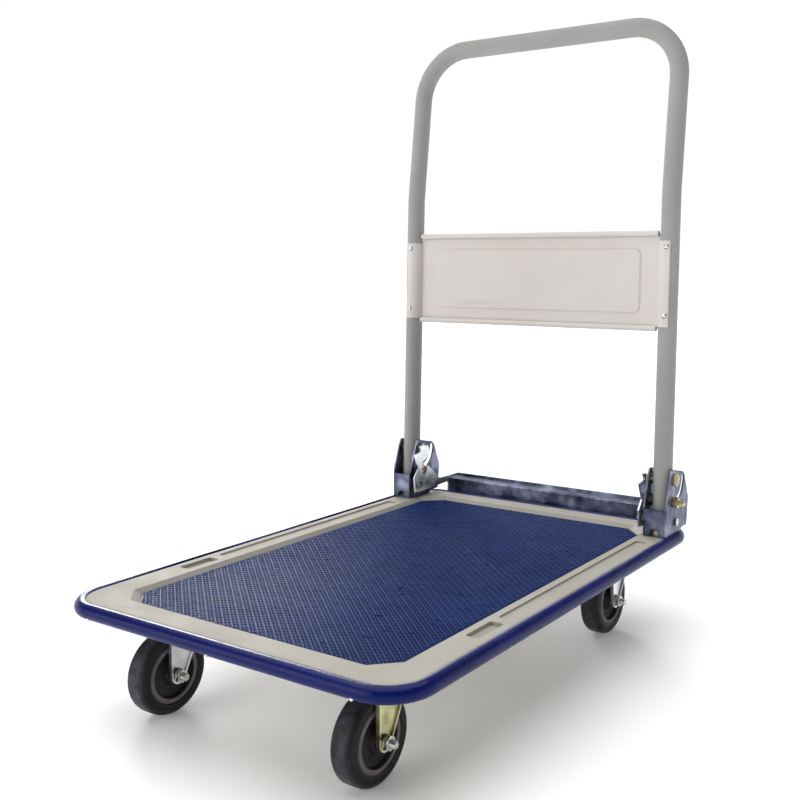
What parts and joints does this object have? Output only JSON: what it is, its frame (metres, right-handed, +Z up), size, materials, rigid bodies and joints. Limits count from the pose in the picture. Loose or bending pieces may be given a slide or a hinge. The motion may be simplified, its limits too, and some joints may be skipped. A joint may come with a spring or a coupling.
{
  "type": "folding platform cart",
  "caption": "Folding platform cart: pressed steel deck with a sunk ribbed mat and round edge bumper, folding tube handle with a foot lock, fixed front and swivelling rear casters.",
  "frame": {"origin": "floor level, under the middle of the whole cart as it stands with its handle up", "axes": "+X to the right seen from the front, +Y towards the handle end, +Z up"},
  "size_m": [0.4796, 0.7086, 0.8227],
  "materials": {
    "deck_paint": "satin powder coat",
    "mat_vinyl": "embossed soft vinyl",
    "bumper_vinyl": "glossy",
    "handle_paint": "satin powder coat",
    "frame_paint": "satin powder coat",
    "zinc_plate": "passivated zinc plate",
    "bracket_zinc": "blue passivated zinc plate",
    "dichromate_zinc": "yellowed zinc plate",
    "panel_paint": "pale satin powder coat",
    "yellow_zinc": "yellow passivated zinc",
    "bright_zinc": "bright zinc",
    "tyre_rubber": "matt",
    "hub_plastic": "moulded",
    "washer_steel": "blackened",
    "bearing_steel": "polished",
    "spring_steel": "oiled"
  },
  "bodies": {
    "chassis": {"deck_plate": "deck_paint", "deck_mat": "mat_vinyl", "edge_bumper": "bumper_vinyl", "bumper_rivets": "bright_zinc", "cross_member_front": "frame_paint", "cross_member_rear": "frame_paint", "side_rails": "frame_paint", "hinge_bracket_left": "bracket_zinc", "hinge_bracket_right": "bracket_zinc", "bracket_deck_bolts": "yellow_zinc", "bracket_deck_nuts": "yellow_zinc", "handle_pivot_bolts": "yellow_zinc", "handle_pivot_nuts": "yellow_zinc", "bracket_tie_rivets": "bright_zinc", "pedal_pivot_pins": "bright_zinc", "fixed_fork_left": "zinc_plate", "fixed_fork_right": "dichromate_zinc", "fixed_axle_bolts": "bright_zinc", "fixed_axle_nuts": "bright_zinc", "fixed_axle_washers": "washer_steel", "fixed_axle_sleeves": "bright_zinc", "caster_bolts": "yellow_zinc", "caster_nuts": "yellow_zinc", "swivel_plate_left": "zinc_plate", "swivel_plate_right": "zinc_plate", "swivel_kingpins": "zinc_plate", "swivel_balls": "bearing_steel"},
    "handle": {"handle_tube": "handle_paint", "handle_panel": "panel_paint", "panel_rivets": "bright_zinc", "keeper_bolts": "yellow_zinc", "keeper_nuts": "yellow_zinc", "handle_spacers": "yellow_zinc"},
    "lock_pedal": {"lock_pedal_bar": "bracket_zinc", "latch_cheek_left": "zinc_plate", "latch_cheek_right": "zinc_plate", "pedal_springs": "spring_steel"},
    "front_left_wheel": {"front_left_tyre": "tyre_rubber", "front_left_hub": "hub_plastic"},
    "front_right_wheel": {"front_right_tyre": "tyre_rubber", "front_right_hub": "hub_plastic"},
    "rear_left_caster": {"swivel_fork_left": "zinc_plate", "rear_left_axle_bolt": "bright_zinc", "rear_left_axle_nut": "bright_zinc", "rear_left_axle_washers": "washer_steel", "rear_left_axle_sleeve": "bright_zinc"},
    "rear_left_wheel": {"rear_left_tyre": "tyre_rubber", "rear_left_hub": "hub_plastic"},
    "rear_right_caster": {"swivel_fork_right": "zinc_plate", "rear_right_axle_bolt": "bright_zinc", "rear_right_axle_nut": "bright_zinc", "rear_right_axle_washers": "washer_steel", "rear_right_axle_sleeve": "bright_zinc"},
    "rear_right_wheel": {"rear_right_tyre": "tyre_rubber", "rear_right_hub": "hub_plastic"}
  },
  "joints": [
    {"name": "handle_fold", "type": "hinge", "parent": "chassis", "child": "handle", "pos_m": [0, 0.2595, 0.203], "axis": [1, 0, 0], "range_deg": [0, 91.5]},
    {"name": "pedal_press", "type": "hinge", "parent": "chassis", "child": "lock_pedal", "pos_m": [0, 0.2443, 0.15], "axis": [1, 0, 0], "range_deg": [-7, 0], "stiffness_Nm_per_rad": 2, "springref_deg": 25.78},
    {"name": "front_left_spin", "type": "hinge", "parent": "chassis", "child": "front_left_wheel", "pos_m": [-0.141, -0.2817, 0.045], "axis": [1, 0, 0], "continuous": true},
    {"name": "front_right_spin", "type": "hinge", "parent": "chassis", "child": "front_right_wheel", "pos_m": [0.141, -0.2817, 0.045], "axis": [1, 0, 0], "continuous": true},
    {"name": "rear_left_swivel", "type": "hinge", "parent": "chassis", "child": "rear_left_caster", "pos_m": [-0.15, 0.2273, 0.096], "axis": [0, 0, 1], "continuous": true},
    {"name": "rear_left_spin", "type": "hinge", "parent": "rear_left_caster", "child": "rear_left_wheel", "pos_m": [-0.15, 0.2023, 0.045], "axis": [1, 0, 0], "continuous": true},
    {"name": "rear_right_swivel", "type": "hinge", "parent": "chassis", "child": "rear_right_caster", "pos_m": [0.15, 0.2273, 0.096], "axis": [0, 0, 1], "continuous": true},
    {"name": "rear_right_spin", "type": "hinge", "parent": "rear_right_caster", "child": "rear_right_wheel", "pos_m": [0.15, 0.2023, 0.045], "axis": [1, 0, 0], "continuous": true}
  ]
}
